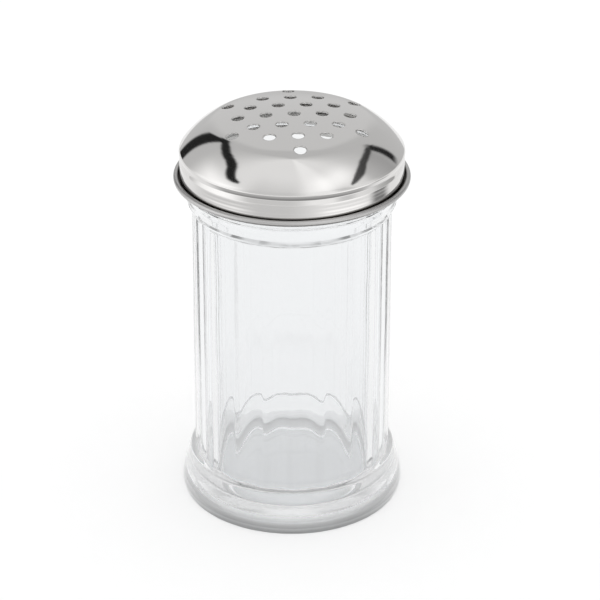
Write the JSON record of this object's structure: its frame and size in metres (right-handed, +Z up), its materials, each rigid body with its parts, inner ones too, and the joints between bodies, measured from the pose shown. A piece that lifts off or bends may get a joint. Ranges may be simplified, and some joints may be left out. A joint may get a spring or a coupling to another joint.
{
  "type": "spice shaker",
  "caption": "Fluted clear glass shaker jar with a screw-on perforated stainless steel dome lid for sprinkling spices by hand.",
  "frame": {"origin": "centre of the standing ring, on the surface that the jar stands on", "axes": "+Z up along the jar's axis, -Y towards the pictured front"},
  "size_m": [0.0794, 0.0794, 0.1405],
  "materials": {
    "clear_glass": "clear pressed glass, polished by fire",
    "clear_seal": "soft translucent washer",
    "plain_steel": "stainless sheet, satin",
    "polished_steel": "stainless sheet, polished"
  },
  "bodies": {
    "jar": {"glass_jar": "clear_glass"},
    "seal": {"sealing_ring": "clear_seal"},
    "lid": {"threaded_collar": "plain_steel", "perforated_dome": "polished_steel"}
  },
  "joints": [
    {"name": "lid_lift", "type": "slide", "parent": "jar", "child": "seal", "axis": [0, 0, 1], "range_m": [0, 0.00847]},
    {"name": "lid_turn", "type": "hinge", "parent": "seal", "child": "lid", "pos_m": [0, 0, 0.1246], "axis": [0, 0, 1], "range_deg": [0, 720]}
  ],
  "couplings": [
    {"joint": "lid_lift", "follows": "lid_turn", "m_per_rad": 0.00067375}
  ]
}
